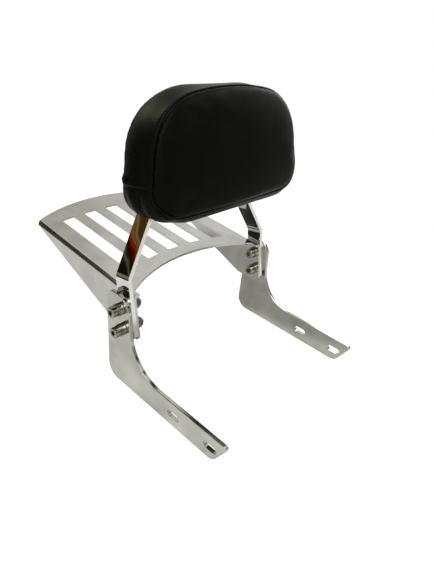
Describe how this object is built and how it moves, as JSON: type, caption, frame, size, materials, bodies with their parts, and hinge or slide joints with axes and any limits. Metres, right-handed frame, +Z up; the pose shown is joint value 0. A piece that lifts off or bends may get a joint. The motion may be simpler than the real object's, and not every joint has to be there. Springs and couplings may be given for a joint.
{
  "type": "sissy bar",
  "caption": "Flat-bar sissy bar leaning back over slotted arms, with a padded backrest in front and a folded, slotted luggage rack behind it.",
  "frame": {"origin": "On the middle plane, midway between the slots by which the two arms are bolted to the bike", "axes": "+X to the bike's left, +Y to the rear along the level arms, +Z up"},
  "size_m": [0.2835, 0.4131, 0.3466],
  "materials": {
    "plate": "polished",
    "sheet": "polished",
    "bar": "mirror",
    "fastener": "bright",
    "bracket": "satin",
    "cover": "soft sheen",
    "board": "moulded grain",
    "insert": "plain"
  },
  "bodies": {
    "root": {"side_plate_right": "plate", "side_plate_left": "plate", "spacer_plate_right": "plate", "spacer_plate_left": "plate", "hoop": "bar", "luggage_rack": "sheet", "collar_upper_right": "fastener", "head_washer_upper_right": "fastener", "spring_washer_upper_right": "fastener", "cap_screw_upper_right": "fastener", "nut_washer_upper_right": "fastener", "domed_nut_upper_right": "fastener", "collar_lower_right": "fastener", "head_washer_lower_right": "fastener", "spring_washer_lower_right": "fastener", "cap_screw_lower_right": "fastener", "nut_washer_lower_right": "fastener", "domed_nut_lower_right": "fastener", "collar_upper_left": "fastener", "head_washer_upper_left": "fastener", "spring_washer_upper_left": "fastener", "cap_screw_upper_left": "fastener", "nut_washer_upper_left": "fastener", "domed_nut_upper_left": "fastener", "collar_lower_left": "fastener", "head_washer_lower_left": "fastener", "spring_washer_lower_left": "fastener", "cap_screw_lower_left": "fastener", "nut_washer_lower_left": "fastener", "domed_nut_lower_left": "fastener", "pad_bracket": "bracket", "pad_cushion": "cover", "pad_board": "board", "pad_insert_1": "insert", "pad_washer_1": "fastener", "pad_screw_1": "fastener", "pad_insert_2": "insert", "pad_washer_2": "fastener", "pad_screw_2": "fastener", "pad_insert_3": "insert", "pad_washer_3": "fastener", "pad_screw_3": "fastener", "pad_insert_4": "insert", "pad_washer_4": "fastener", "pad_screw_4": "fastener"}
  },
  "joints": []
}
